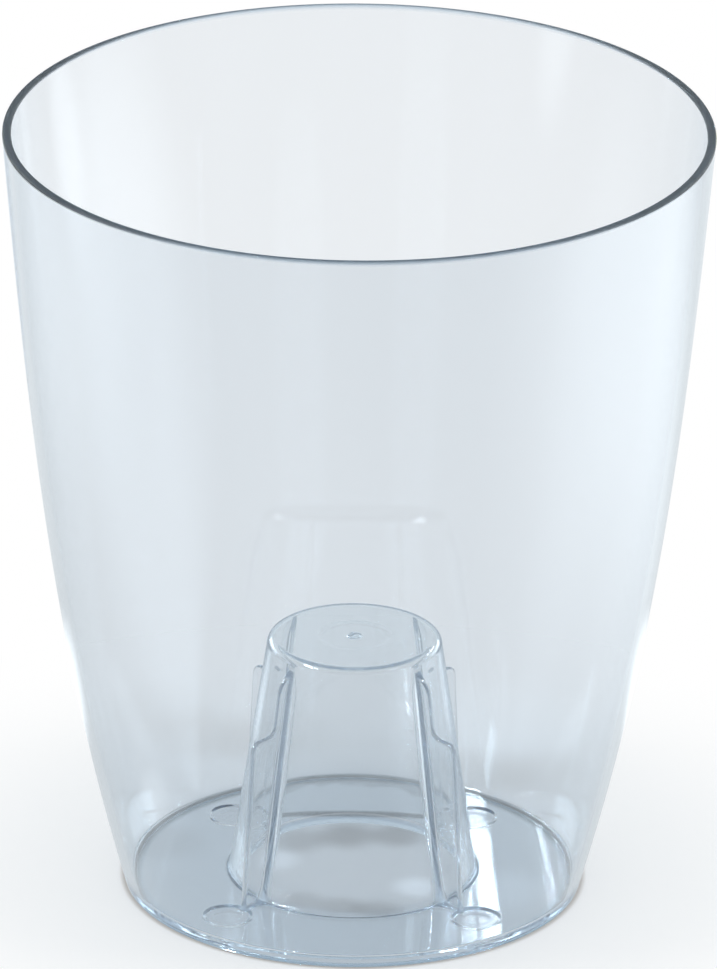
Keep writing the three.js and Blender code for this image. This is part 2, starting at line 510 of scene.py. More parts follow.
@dataclass
class Pedestal:
    """The hollow round cone in the middle, with its flat top and four stepped ribs.

    The heights in root_levels are those of a rib's root at the start and end of its shoulder and
    at the start and end of its step, measured from the shoulder. The edge and root shares hold a
    rib's roundings to a share of its width.
    """

    floor_top: float = from_cad("floor_plate", 1)
    underside: float = from_cad("floor_plate", 0)
    cap_level: float = from_cad("pedestal_side", 1)
    top_level: float = from_cad("pedestal_top", 1)
    top_radius: float = from_cad("pedestal_top", 1, axis=0)
    rib_top: float = from_cad("rib_1", 1)
    foot_radius: float = 22.2
    foot_wall: float = 1.5
    top_wall: float = 0.9
    cap: float = 0.9
    foot_fillet: float = 1.0
    top_round: float = 1.5
    hollow_round: float = 0.6
    hollow_foot_round: float = 0.4
    hollow_lip: float = 1.2
    recess_radius: float = 6.3
    recess_depth: float = 0.1
    recess_slope: float = 0.6
    recess_round: float = 2.0
    gate_radius: float = 1.5
    gate_gap: float = 0.1
    gate_height: float = 0.46
    gate_middle: float = 0.65
    gate_ripples: tuple[tuple[float, float, float, float], ...] = (
        (0.225, 5.1, 1.9, 0.7),
        (0.175, -3.7, 8.3, 0.0),
        (0.125, 11.0, 0.0, 2.0),
    )
    rib_thickness: float = 1.1
    rib_edge_round: float = 0.5
    rib_root_fillet: float = 1.3
    rib_foot_flare: float = 1.3
    rib_flare_height: float = 1.2
    rib_edge_share: float = 0.35
    rib_root_share: float = 0.42
    flank_shares: tuple[float, ...] = (0.06, 0.35, 0.65, 0.94, 1.0)
    rib_foot_fillet: float = 0.35
    rib_foot_width: float = 5.4
    shoulder_width: float = 8.1
    shoulder_rise: float = 31.6
    shoulder_round: float = 1.9
    ridge_width: float = 2.85
    ridge_fillet: float = 1.9
    top_curve: float = 4.2
    top_drop: float = 1.3
    root_levels: tuple[float, float, float, float] = (-4.0, -2.8, -1.0, 0.4)
    root_drop: float = 0.6
    climb_rows: int = 13
    step_rows: int = 2
    ridge_rows: int = 7
    curve_rows: int = 11
    foot_rows: int = 6
    gate_rows: int = 12
    gap_columns: int = 16
    gap_close: float = 0.15
    bend_columns: int = 5
    crown_columns: int = 4
    hollow_columns: int = 128

    def radius(self, z: np.ndarray) -> np.ndarray:
        """Returns the cone's outer radius at height z: a straight line from foot to cap."""
        share = (np.asarray(z, float) - self.floor_top) / (self.cap_level - self.floor_top)
        return self.foot_radius + (self.top_radius - self.foot_radius) * share

    def proud(self, z: float, width: float) -> tuple[float, float]:
        """Returns the profile point that stands width out from the cone at height z."""
        return float(self.radius(z)) + width, z

    def rib_outline(self) -> tuple[np.ndarray, np.ndarray]:
        """Works out a rib's outer edge and, row by row, the height of its root on the cone.

        The edge climbs from the floor, rounds the shoulder, steps in, climbs the ridge and runs
        into the cone along a quadratic curve. Each row joins a point of the edge to the root at
        a height read from the share of the edge's length, so that rows never cross.

        Returns:
            The edge's radius and height, of shape (rows, 2), and the root's heights.
        """
        shoulder = self.floor_top + self.shoulder_rise
        curve_start = self.rib_top - self.top_curve
        foot = self.proud(self.floor_top + self.rib_foot_fillet, self.rib_foot_width)
        ridge_end = np.array(self.proud(curve_start, self.ridge_width))
        bends = rounded(
            [
                foot,
                self.proud(shoulder, self.shoulder_width),
                self.proud(shoulder, self.ridge_width),
                tuple(ridge_end),
            ],
            [self.shoulder_round, self.ridge_fillet],
            steps=8,
            support=0.15,
        )[1:-1]
        arc = len(bends) // 2
        climb = shares(self.climb_rows)[:-1, None]
        step = shares(self.step_rows + 1)[1:-1, None]
        ridge = shares(self.ridge_rows)[1:, None]
        turn = shares(self.curve_rows)[1:, None]
        end = np.array(self.proud(self.rib_top, 0.0))
        pull = np.array(self.proud(self.rib_top - self.top_drop, self.ridge_width))
        edge = np.vstack(
            [
                np.array(foot) + (bends[0] - foot) * climb,
                bends[:arc],
                bends[arc - 1] + (bends[arc] - bends[arc - 1]) * step,
                bends[arc:],
                bends[-1] + (ridge_end - bends[-1]) * ridge,
                curved(ridge_end, pull, end, turn),
            ]
        )
        lengths = np.linalg.norm(np.diff(edge, axis=0), axis=1)
        along = np.concatenate([[0.0], np.cumsum(lengths)])
        shoulder_end = self.climb_rows + arc - 1
        step_start = shoulder_end + self.step_rows + 1
        step_end = step_start + arc - 1
        rows = [0, self.climb_rows, shoulder_end, step_start, step_end, step_end + self.ridge_rows, -1]
        levels = [
            self.floor_top + self.foot_fillet,
            *(shoulder + level for level in self.root_levels),
            curve_start - self.root_drop,
            self.rib_top,
        ]
        return edge, np.interp(along, along[rows], levels)

    def rib_sector(self) -> np.ndarray:
        """Makes the quarter of the pedestal's side that is centred on a rib lying along X.

        Each column is a radius, a sideways distance Y and a height. Columns follow the cone,
        bend round the root along a quadratic curve, run straight out along the flank, turn the
        edge's corner on a quarter circle and cross to the middle. The other half mirrors them.
        Last, x = sqrt(radius^2 - Y^2).

        Returns:
            The points, of shape (rows, columns, 3).
        """
        edge, root_z = self.rib_outline()
        tangent = unit(np.gradient(edge, axis=0))
        inward = np.stack([-tangent[:, 1], tangent[:, 0]], axis=1)
        half = self.rib_thickness / 2.0
        root_r = self.radius(root_z)
        width = np.linalg.norm(edge - np.stack([root_r, root_z], axis=1), axis=1)
        ease = np.minimum(self.rib_edge_round, self.rib_edge_share * width)
        flare = self.rib_foot_flare * np.exp((root_z[0] - root_z) / self.rib_flare_height)
        leg = np.minimum(self.rib_root_fillet + flare, self.rib_root_share * width)

        share = shares(self.gap_columns - 1)
        share = np.insert(share, -1, 1.0 - self.gap_close / self.gap_columns)[None]
        start = np.arcsin(half / root_r) + leg / root_r
        angle = -np.pi / 4 + (np.pi / 4 - start)[:, None] * share
        radius, angle, height = np.broadcast_arrays(root_r[:, None], angle, root_z[:, None])
        gap = np.stack([radius, radius * np.sin(angle), height], axis=-1)

        flank_y = np.full_like(root_r, -half)
        corner = np.stack([root_r, flank_y, root_z], axis=1)[:, None]
        rim = edge + inward * ease[:, None]
        lip = np.stack([rim[:, 0], flank_y, rim[:, 1]], axis=1)[:, None]
        flank_start = corner + unit(lip - corner + 1e-9) * leg[:, None, None]
        bend = shares(self.bend_columns)[None, 1:, None]
        root = curved(gap[:, -1:], corner, flank_start, bend)

        flank = flank_start + (lip - flank_start) * np.array(self.flank_shares)[None, :, None]

        turn = np.linspace(0.0, np.pi / 2, self.crown_columns + 1)[None, 1:]
        depth = ease[:, None] * (1.0 - np.sin(turn))
        crown = np.stack(
            [
                edge[:, :1] + inward[:, :1] * depth,
                -half + ease[:, None] * (1.0 - np.cos(turn)),
                edge[:, 1:] + inward[:, 1:] * depth,
            ],
            axis=-1,
        )
        middle = crown[:, -1:] * np.array([1.0, 0.5, 1.0])
        centre = crown[:, -1:] * np.array([1.0, 0.0, 1.0])

        first = np.concatenate([gap, root, flank, crown, middle, centre], axis=1)
        second = first[:, -2:0:-1] * np.array([1.0, -1.0, 1.0])
        sector = np.concatenate([first, second], axis=1)
        depth_x = np.sqrt(sector[..., 0] ** 2 - sector[..., 1] ** 2)
        return np.stack([depth_x, sector[..., 1], sector[..., 2]], axis=-1)

    def side(self) -> np.ndarray:
        """Makes the side by turning the rib sector to four angles.

        Returns:
            The grid, from the floor up.
        """
        sector = self.rib_sector()
        rows, columns = sector.shape[:2]
        x = sector[..., :1] * np.cos(QUARTERS) - sector[..., 1:2] * np.sin(QUARTERS)
        y = sector[..., :1] * np.sin(QUARTERS) + sector[..., 1:2] * np.cos(QUARTERS)
        z = np.broadcast_to(sector[..., 2:], (rows, columns, 4))
        grid = np.stack([x, y, z], axis=-1)
        return grid.transpose(0, 2, 1, 3).reshape(rows, 4 * columns, 3)

    def foot(self, side: np.ndarray, floor: Floor) -> np.ndarray:
        """Carries the side's lowest row out onto the floor along a quarter circle.

        The circle's radius at each column is that column's height above the floor, and it opens
        outwards along the outline's own normal. Its lower end follows the dimples.

        Args:
            side: The side's grid.
            floor: The floor, which gives its height at any place.

        Returns:
            The foot's grid, from the floor up to the side's lowest row.
        """
        base = side[0]
        drop = base[:, 2] - self.floor_top
        turn = np.linspace(np.pi / 2, 0.0, self.foot_rows + 1)[:, None]
        reach = drop * (1.0 - np.cos(turn))
        flat = base[None, :, :2] + outward(base)[None] * reach[..., None]
        sink = self.floor_top - floor.top_height(flat[0])
        height = base[:, 2] - np.sin(turn) * (drop + sink)
        return np.concatenate([flat, height[..., None]], axis=-1)

    def top(self, side: np.ndarray) -> np.ndarray:
        """Makes the flat top: rounded edge, gate recess and gate mark, closed at the axis.

        Args:
            side: The side's grid, whose last row gives the columns' angles.

        Returns:
            The grid, from the side's last row to the axis.
        """
        angles = np.arctan2(side[-1, :, 1], side[-1, :, 0])
        step = self.top_level - self.recess_depth
        mark = np.linspace(self.gate_radius, 0.0, self.gate_rows + 1)
        face = rounded(
            [
                self.proud(self.rib_top, 0.0),
                self.proud(self.top_level, 0.0),
                (self.recess_radius + self.recess_slope, self.top_level),
                (self.recess_radius - self.recess_slope, step),
                (self.gate_radius + self.gate_gap, step),
            ],
            [self.top_round, self.recess_round, self.recess_round],
            steps=8,
            support=0.02,
        )
        grid = turned(np.vstack([face, np.stack([mark, np.full_like(mark, step)], axis=1)]), angles)
        grid[..., 2] += self.gate_mark(grid[..., :2])
        return grid

    def gate_mark(self, flat: np.ndarray) -> np.ndarray:
        """Works out the torn gate mark's height: a dome sqrt(1 - s^2) broken by sine ripples.

        Args:
            flat: Places on the top, of shape (..., 2).

        Returns:
            The height at each place, 0 outside the mark.
        """
        x, y = flat[..., 0] / self.gate_radius, flat[..., 1] / self.gate_radius
        dome = np.sqrt(np.maximum(1.0 - x**2 - y**2, 0.0))
        torn = sum(size * np.sin(a * x + b * y + start) for size, a, b, start in self.gate_ripples)
        return self.gate_height * dome * (self.gate_middle + torn)

    @property
    def hollow_edge(self) -> float:
        """The radius at which the floor's underside hands over to the hollow's edge."""
        return float(self.radius(self.underside)) - self.foot_wall + self.hollow_lip

    def hollow(self) -> Patch:
        """Makes the hollow's surface by turning one profile round the axis.

        Returns:
            The patch, from the underside up to the closed top.
        """
        ceiling = self.top_level - self.cap
        profile = rounded(
            [
                (self.hollow_edge, self.underside),
                self.proud(self.underside, -self.foot_wall),
                self.proud(ceiling, -self.top_wall),
                (0.0, ceiling),
            ],
            [self.hollow_foot_round, self.hollow_round],
        )
        return closed_grid(turned(profile, full_turn(self.hollow_columns)))


class Graph:
    """A shader tree to which nodes are added together with their inputs."""

    def __init__(self, tree: Tree) -> None:
        """Takes the tree that is added to."""
        self.tree = tree

    def join(self, node: bpy.types.Node, inputs: dict[str | int, Source]) -> None:
        """Links a node's inputs to sockets and sets the others to constants.

        Args:
            node: The node.
            inputs: A socket or a constant for each input, by its name or number.
        """
        for label, value in inputs.items():
            if isinstance(value, Wire):
                self.tree.links.new(value, node.inputs[label])
            else:
                node.inputs[label].default_value = value

    def node(self, kind: str, inputs: dict[str | int, Source], **settings: object) -> bpy.types.Node:
        """Adds a node.

        Args:
            kind: The node's type, without the ShaderNode that it starts with.
            inputs: A socket or a constant for each input, by its name or number.
            settings: The node's own properties.

        Returns:
            The node.
        """
        made = self.tree.nodes.new(f"ShaderNode{kind}")
        for label, value in settings.items():
            setattr(made, label, value)
        self.join(made, inputs)
        return made

    def math(self, operation: str, first: Source, second: Source = 0.0) -> Wire:
        """Returns a Math node's result for two numbers."""
        return self.node("Math", {0: first, 1: second}, operation=operation).outputs[0]

    def scaled(self, vector: Source, level: Source) -> Wire:
        """Returns a vector or colour times a level."""
        return self.node("VectorMath", {0: vector, "Scale": level}, operation="SCALE").outputs[0]

    def product(self, first: Source, second: Source) -> Wire:
        """Returns two vectors' product, axis by axis."""
        return self.node("VectorMath", {0: first, 1: second}, operation="MULTIPLY").outputs[0]

    def dot(self, first: Source, second: Source) -> Wire:
        """Returns two vectors' dot product."""
        return self.node("VectorMath", {0: first, 1: second}, operation="DOT_PRODUCT").outputs["Value"]

    def length(self, vector: Source) -> Wire:
        """Returns a vector's length."""
        return self.node("VectorMath", {0: vector}, operation="LENGTH").outputs["Value"]

    def noise(
        self, place: Source, scale: Source, detail: float, roughness: float = 0.5
    ) -> Wire:
        """Returns a noise's value at a place."""
        inputs = {"Vector": place, "Scale": scale, "Detail": detail, "Roughness": roughness}
        return self.node("TexNoise", inputs).outputs["Fac"]

    def eased(
        self, value: Wire, span: tuple[Source, Source], ends: tuple[Source, Source] = (0.0, 1.0)
    ) -> Wire:
        """Goes smoothly from one number to another as a value climbs.

        Args:
            value: The value.
            span: The values where it starts and where it ends.
            ends: The number at the start and the number at the end.

        Returns:
            The result.
        """
        labels = ("Value", "From Min", "From Max", "To Min", "To Max")
        inputs = dict(zip(labels, (value, *span, *ends)))
        return self.node("MapRange", inputs, interpolation_type="SMOOTHSTEP").outputs["Result"]

    def mix(self, share: Source, first: Source, second: Source) -> Wire:
        """Returns the mix of two colours, where a share of 1 is all the second."""
        inputs = {"Factor": share, "A": first, "B": second}
        return self.node("Mix", inputs, data_type="RGBA").outputs["Result"]

    def shader_mix(self, share: Source, first: bpy.types.Node, second: bpy.types.Node) -> bpy.types.Node:
        """Returns the node that mixes two shaders, where a share of 1 is all the second."""
        return self.node("MixShader", {0: share, 1: first.outputs[0], 2: second.outputs[0]})

    def sight(self) -> tuple[Wire, Wire, Wire]:
        """Tells apart the rays by which the camera sees the studio, straight or through the pot.

        Returns:
            A socket that is 1 for camera, glossy and transmission rays and 0 once light has been
            scattered, one that is 1 for those of them that were mirrored on the way, and one that
            is 1 for all but the camera's own rays.
        """
        path = self.node("LightPath", {}).outputs
        seen = self.math("MAXIMUM", path["Is Camera Ray"], path["Is Glossy Ray"])
        seen = self.math("MAXIMUM", seen, path["Is Transmission Ray"])
        seen = self.math("MULTIPLY", seen, self.math("LESS_THAN", path["Diffuse Depth"], 0.5))
        mirrored = self.math("MULTIPLY", seen, self.math("GREATER_THAN", path["Glossy Depth"], 0.5))
        return seen, mirrored, self.math("LESS_THAN", path["Is Camera Ray"], 0.5)


class Group(Graph):
    """A shader node group with named inputs and one named output."""

    def __init__(self, name: str, inputs: dict[Socket, tuple[str, ...]]) -> None:
        """Starts the group.

        Args:
            name: The group's name.
            inputs: The names of the inputs of each kind.
        """
        super().__init__(bpy.data.node_groups.new(name, "ShaderNodeTree"))
        for kind, labels in inputs.items():
            for label in labels:
                self.tree.interface.new_socket(label, in_out="INPUT", socket_type=kind.value)
        self.given = self.tree.nodes.new("NodeGroupInput").outputs

    def put_out(self, label: str, result: Wire, kind: Socket = Socket.VALUE) -> Tree:
        """Adds the output and links a result to it.

        Args:
            label: The output's name.
            result: The result.
            kind: The output's kind.

        Returns:
            The finished tree.
        """
        self.tree.interface.new_socket(label, in_out="OUTPUT", socket_type=kind.value)
        self.join(self.tree.nodes.new("NodeGroupOutput"), {label: result})
        return self.tree


def flow_group() -> Tree:
    """Builds the group for the slow unevenness that plastic keeps from flowing into its mould.

    Its height is noise on Object coordinates, drawn out along Z by the Draw input.

    Returns:
        The group, with the output Height.
    """
    group = Group("moulding_flow", {Socket.VECTOR: ("Place",), Socket.VALUE: ("Scale", "Draw")})
    spread = group.node("CombineXYZ", {0: 1.0, 1: 1.0, 2: group.given["Draw"]}).outputs[0]
    drawn = group.product(group.given["Place"], spread)
    return group.put_out("Height", group.noise(drawn, group.given["Scale"], detail=1.5, roughness=0.35))


@dataclass(frozen=True)
class ToneZones:
    """Where the plastic's tone changes, in metres, and how far its streaks are drawn out.

    The spans of thin and outermost are distances from the axis, those of above_floor and standing
    are heights.
    """

    thin: Span = (0.0315, 0.0345)
    above_floor: Span = (0.002, 0.0035)
    standing: Span = (0.0003, 0.0012)
    outermost: Span = (0.0375, 0.0385)
    streak_squeeze: float = 0.07


def tone_group(zones: ToneZones) -> Tree:
    """Builds the group for the plastic's tone: its own cool tint, deeper and bluer towards the base by
    painted shade, with soft streaks.

    The colour goes from Base at Z = 0 to Top at the given height, where the deepening towards the base
    is painted shade, and is Thin above the floor round the axis, where the moulding is thinner. It goes
    over to Edge on the rim, from Rim Start to Rim End, and on the standing edge: a deeper tint that
    paints shade as dark lines along these edges. Noise drawn far out along Z darkens it by up to
    Streak Depth, as flow lines do, and Keep, which carries the painted shade lines, scales it.

    Args:
        zones: Where the tone changes.

    Returns:
        The group, with the output Colour.
    """
    values = ("Height", "Rim Start", "Rim End", "Streak Scale", "Streak Depth", "Keep")
    colours = ("Base", "Top", "Thin", "Edge")
    group = Group(
        "plastic_tone", {Socket.VECTOR: ("Place",), Socket.COLOUR: colours, Socket.VALUE: values}
    )
    given = group.given
    height = group.dot(given["Place"], (0.0, 0.0, 1.0))
    reach = group.length(group.product(given["Place"], (1.0, 1.0, 0.0)))
    colour = group.mix(group.eased(height, (0.0, given["Height"])), given["Base"], given["Top"])
    near = group.eased(reach, zones.thin, (1.0, 0.0))
    near = group.math("MULTIPLY", near, group.eased(height, zones.above_floor))
    colour = group.mix(near, colour, given["Thin"])
    rim = group.eased(height, (given["Rim Start"], given["Rim End"]))
    standing = group.eased(height, zones.standing, (1.0, 0.0))
    standing = group.math("MULTIPLY", standing, group.eased(reach, zones.outermost))
    colour = group.mix(group.math("MAXIMUM", rim, standing), colour, given["Edge"])
    drawn = group.product(given["Place"], (1.0, 1.0, zones.streak_squeeze))
    streaks = group.noise(drawn, given["Streak Scale"], detail=2.0, roughness=0.4)
    bright = group.math("SUBTRACT", 1.0, group.math("MULTIPLY", streaks, given["Streak Depth"]))
    colour = group.scaled(colour, group.math("MULTIPLY", bright, given["Keep"]))
    return group.put_out("Colour", colour, Socket.COLOUR)


def haze_group(scales: Span, span: Span) -> Tree:
    """Builds the group for the faint handling haze on clear plastic.

    Its roughness goes from the Clean to the Hazy input with a patchy noise and a fine one. From
    Rim Start to Rim End, as heights, the matt of the trimmed rim is added, up to Rim.

    Args:
        scales: The scales of the patchy noise and of the fine one.
        span: The products of the two noises between which the haze comes in.

    Returns:
        The group, with the output Roughness.
    """
    values = ("Clean", "Hazy", "Rim", "Rim Start", "Rim End")
    group = Group("handling_haze", {Socket.VECTOR: ("Place",), Socket.VALUE: values})
    given = group.given
    patchy = group.noise(given["Place"], scales[0], detail=3.0)
    fine = group.noise(given["Place"], scales[1], detail=2.0)
    haze = group.eased(group.math("MULTIPLY", patchy, fine), span, (given["Clean"], given["Hazy"]))
    height = group.dot(given["Place"], (0.0, 0.0, 1.0))
    rim = group.eased(height, (given["Rim Start"], given["Rim End"]), (0.0, given["Rim"]))
    return group.put_out("Roughness", group.math("ADD", haze, rim))


@dataclass(frozen=True)
class PaintedShadeLine:
    """A painted shade line low on the pedestal's back, standing for a dark band seen through it, in metres.

    Its middle lies at height behind the axis and climbs by rise times (1 - cos a) at the angle a
    from there, and noise moves it by up to half of wave.
    """

    height: float
    rise: float
    half_width: float
    depth: float
    wave: float
    wave_scale: float


def shade_lines_group(shade_lines: tuple[PaintedShadeLine, ...], start: Span, end: Span, sector: Span) -> Tree:
    """Builds the group for the painted shade lines, as the share of the light that they leave.

    Each line takes its depth of painted shade away within half its width, on the outer face only.

    Args:
        shade_lines: The painted shade lines.
        start: The distances from the axis between which they come in.
        end: The distances from the axis between which they go out.
        sector: The cosines of the angle from +Y between which they come in.

    Returns:
        The group, with the input Place and the output Keep.
    """
    group = Group("painted_shade_lines", {Socket.VECTOR: ("Place",)})
    place = group.given["Place"]
    flat = group.product(place, (1.0, 1.0, 0.0))
    radius = group.length(flat)
    back = group.math("DIVIDE", group.dot(place, (0.0, 1.0, 0.0)), radius)
    height = group.dot(place, (0.0, 0.0, 1.0))
    shown = group.math("MULTIPLY", group.eased(radius, start), group.eased(radius, end, (1.0, 0.0)))
    shown = group.math("MULTIPLY", shown, group.eased(back, sector))
    taken: Source = 0.0
    for mark in shade_lines:
        sway = group.math("SUBTRACT", group.noise(flat, mark.wave_scale, detail=1.0), 0.5)
        sway = group.math("MULTIPLY", sway, mark.wave)
        climb = group.math("MULTIPLY", back, -mark.rise)
        middle = group.math("ADD", group.math("ADD", climb, mark.height + mark.rise), sway)
        gap = group.math("ABSOLUTE", group.math("SUBTRACT", height, middle))
        core = LINE_CORE * mark.half_width
        band = group.eased(gap, (core, mark.half_width), (mark.depth, 0.0))
        taken = group.math("MAXIMUM", taken, band)
    keep = group.math("SUBTRACT", 1.0, group.math("MULTIPLY", taken, shown))
    return group.put_out("Keep", keep)


@dataclass(frozen=True)
class ClearPlastic:
    """The finish of clear moulded polystyrene with a faint cool tint."""

    name: str = "clear_polystyrene"
    # The cool tint is the plastic's own; the deeper base tint against the top tint is painted shade towards
    # the base.
    base_tint: Tone = (0.862, 0.898, 0.93)
    top_tint: Tone = (0.9, 0.927, 0.951)
    thin_tint: Tone = (0.975, 0.985, 0.992)
    # Painted shade: a deeper tint that darkens the rim and the standing edge into dark lines.
    edge_shade_tint: Tone = (0.6, 0.75, 0.88)
    tint_height: float = 0.06
    zones: ToneZones = ToneZones()
    streak_scale: float = 26.0
    streak_depth: float = 0.055
    depth_tint: Tone = (0.35, 0.475, 0.6)
    depth_density: float = 20.0
    index: float = 1.59
    clean: float = 0.0
    hazy: float = 0.03
    haze_scales: Span = (55.0, 900.0)
    haze_span: Span = (0.2, 0.42)
    rim_matt: float = 0.8
    rim_zone: Span = (0.1426, 0.1434)
    flow_scale: float = 38.0
    flow_draw: float = 0.2
    flow_height: float = 0.00008
    # Painted shade: two dark lines low on the pedestal's back, standing for dark bands seen through it, and
    # where they come in.
    shade_lines: tuple[PaintedShadeLine, ...] = (
        PaintedShadeLine(0.0092, 0.0022, 0.0014, 0.34, 0.003, 190.0),
        PaintedShadeLine(0.0024, 0.0083, 0.0007, 0.8, 0.0002, 200.0),
    )
    shade_line_start: Span = (0.0204, 0.0207)
    shade_line_end: Span = (0.0235, 0.024)
    shade_line_sector: Span = (0.67, 0.77)

    def material(self) -> bpy.types.Material:
        """Builds the material: a clear dielectric over a thin volume, with flow and haze.

        Returns:
            The material.
        """
        made = bpy.data.materials.new(self.name)
        made.use_nodes = True
        graph = Graph(made.node_tree)
        place = graph.node("TexCoord", {}).outputs["Object"]
        zone = {"Place": place, "Rim Start": self.rim_zone[0], "Rim End": self.rim_zone[1]}
        # The painted shade lines darken the tone through its Keep input.
        shade_lines_tree = shade_lines_group(self.shade_lines, self.shade_line_start, self.shade_line_end, self.shade_line_sector)
        shade_lines = graph.node("Group", {"Place": place}, node_tree=shade_lines_tree)
        tints = {
            "Base": (*self.base_tint, 1.0),
            "Top": (*self.top_tint, 1.0),
            "Thin": (*self.thin_tint, 1.0),
            "Edge": (*self.edge_shade_tint, 1.0),
        }
        amounts = {
            "Height": self.tint_height,
            "Streak Scale": self.streak_scale,
            "Streak Depth": self.streak_depth,
            "Keep": shade_lines.outputs["Keep"],
        }
        tone = graph.node("Group", zone | tints | amounts, node_tree=tone_group(self.zones))
        matt = {"Clean": self.clean, "Hazy": self.hazy, "Rim": self.rim_matt}
        haze = graph.node("Group", zone | matt, node_tree=haze_group(self.haze_scales, self.haze_span))
        drawn = {"Place": place, "Scale": self.flow_scale, "Draw": self.flow_draw}
        flow = graph.node("Group", drawn, node_tree=flow_group())
        bump = graph.node("Bump", {"Height": flow.outputs["Height"], "Distance": self.flow_height})
        depth = graph.node(
            "VolumeAbsorption", {"Color": (*self.depth_tint, 1.0), "Density": self.depth_density}
        )
        graph.join(
            made.node_tree.nodes["Principled BSDF"],
            {
                "Transmission Weight": 1.0,
                "IOR": self.index,
                "Base Color": tone.outputs["Colour"],
                "Roughness": haze.outputs["Roughness"],
                "Normal": bump.outputs["Normal"],
            },
        )
        graph.join(made.node_tree.nodes["Material Output"], {"Volume": depth.outputs["Volume"]})
        return made


@dataclass
class Moulding:
    """The whole pot as one closed surface of clear plastic."""

    cup: Cup = field(default_factory=Cup)
    pedestal: Pedestal = field(default_factory=Pedestal)
    floor: Floor = field(default_factory=Floor)
    finish: ClearPlastic = ClearPlastic()
    name: str = "pot_moulding"
    merge_distance: float = 2e-6
    least_edge: float = 1e-7

    def patches(self) -> list[Patch]:
        """Makes the surface's patches, which meet point to point along their edges.

        Returns:
            The patches.
        """
        cup, pedestal = self.cup, self.pedestal
        side = pedestal.side()
        foot = pedestal.foot(side, self.floor)
        return [
            cup.patch(),
            closed_grid(np.concatenate([foot[:-1], side, pedestal.top(side)[1:]], axis=0)),
            pedestal.hollow(),
            self.floor.top(foot[0, :, :2], cup.floor_edge, cup.columns),
            self.floor.under(
                pedestal.hollow_edge, pedestal.hollow_columns, cup.underside_edge, cup.columns
            ),
        ]

    def mesh(self) -> bpy.types.Mesh:
        """Merges the patches into one closed mesh with its faces pointing outwards.

        Returns:
            The mesh, in metres.
        """
        points: list[np.ndarray] = []
        faces: list[list[int]] = []
        for patch in self.patches():
            faces += (patch.faces + sum(map(len, points))).tolist()
            points.append(patch.points)
        mesh = bpy.data.meshes.new(self.name)
        mesh.from_pydata(np.vstack(points) * MM, [], faces)
        shape = bmesh.new()
        shape.from_mesh(mesh)
        bmesh.ops.remove_doubles(shape, verts=shape.verts, dist=self.merge_distance)
        bmesh.ops.dissolve_degenerate(shape, edges=shape.edges, dist=self.least_edge)
        bmesh.ops.recalc_face_normals(shape, faces=shape.faces)
        if shape.calc_volume(signed=True) < 0.0:
            bmesh.ops.reverse_faces(shape, faces=shape.faces)
        loose = sum(not edge.is_manifold for edge in shape.edges)
        LOG.info("%s: %d faces, %d open edges", self.name, len(shape.faces), loose)
        shape.to_mesh(mesh)
        shape.free()
        mesh.polygons.foreach_set("use_smooth", np.ones(len(mesh.polygons), bool))
        return mesh

    def build(self) -> bpy.types.Object:
        """Makes the pot, dresses it, hangs it on the root body and hides every CAD node.

        Returns:
            The pot.
        """
        pot = placed(self.name, self.mesh())
        pot.data.materials.append(self.finish.material())
        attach(pot, "root")
        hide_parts(*NODES)
        return pot


@dataclass(frozen=True)
class Glow:
    """A soft light far off that the gloss mirrors, in degrees and in multiples of white.

    Azimuth runs from +Y, behind the pot, towards +X. Width and height are half sizes, and tilt
    turns the light in its own plane. It fades as x^4 + y^4 goes through its fade, with x and y
    measured across and up it in half sizes.
    """

    azimuth: float
    elevation: float
    width: float
    height: float
    strength: float
    tilt: float = 0.0
    fade: Span = (0.5, 1.6)

    def axes(self) -> tuple[Vector, Vector, Vector]:
        """Works out how the light lies.

        Returns:
            The directions to the light, across it and up it. The last two are scaled so that a
            direction's dot product with them is 1 at the light's edge.
        """
        turn, lift, tilt = (math.radians(v) for v in (self.azimuth, self.elevation, self.tilt))
        away = Vector((math.sin(turn) * math.cos(lift), math.cos(turn) * math.cos(lift), math.sin(lift)))
        level = Vector((math.cos(turn), -math.sin(turn), 0.0))
        across = level * math.cos(tilt) + level.cross(away) * math.sin(tilt)
        upward = across.cross(away)
        half_width, half_height = (math.sin(math.radians(v)) for v in (self.width, self.height))
        return away, across / half_width, upward / half_height


@dataclass(frozen=True)
class Dome:
    """The mirrored studio, white behind the pot, easing to its level overhead and in front.

    It eases as a direction's dot product with the axis goes through the span.
    """

    level: float = 0.42
    axis: Tone = (0.0, -0.6, 1.0)
    span: Span = (0.1, 0.65)


def mirrored_group(glows: tuple[Glow, ...], dome: Dome) -> Tree:
    """Builds the group for how bright the studio above the table is in the gloss.

    Args:
        glows: The soft lights, whose strengths are added.
        dome: The studio without them.

    Returns:
        The group, with the input Direction and the output Strength.
    """
    group = Group("mirrored_studio", {Socket.VECTOR: ("Direction",)})
    way = group.given["Direction"]
    total = group.eased(group.dot(way, dome.axis), dome.span, (1.0, dome.level))
    for glow in glows:
        away, *sides = glow.axes()
        x, y = (group.math("POWER", group.math("ABSOLUTE", group.dot(way, side)), 4.0) for side in sides)
        inside = group.eased(group.math("ADD", x, y), glow.fade, (glow.strength, 0.0))
        facing = group.math("GREATER_THAN", group.dot(way, away), 0.0)
        total = group.math("ADD", total, group.math("MULTIPLY", inside, facing))
    return group.put_out("Strength", total)


def pools_group(name: str, level: float, pools: tuple[Pool, ...]) -> Tree:
    """Builds a group for how bright the table is, with soft round pools of light or shade on it.

    Each pool adds its strength round its middle and eases off to nothing at its radius.

    Args:
        name: The group's name.
        level: The level away from the pools.
        pools: Each pool's middle x and y, radius and strength.

    Returns:
        The group, with the input Place and the output Strength.
    """
    group = Group(name, {Socket.VECTOR: ("Place",)})
    total: Source = level
    for x, y, radius, strength in pools:
        ends = {0: group.given["Place"], 1: (x, y, 0.0)}
        gap = group.node("VectorMath", ends, operation="DISTANCE").outputs["Value"]
        total = group.math("ADD", group.eased(gap, (POOL_CORE * radius, radius), (strength, 0.0)), total)
    return group.put_out("Strength", total)


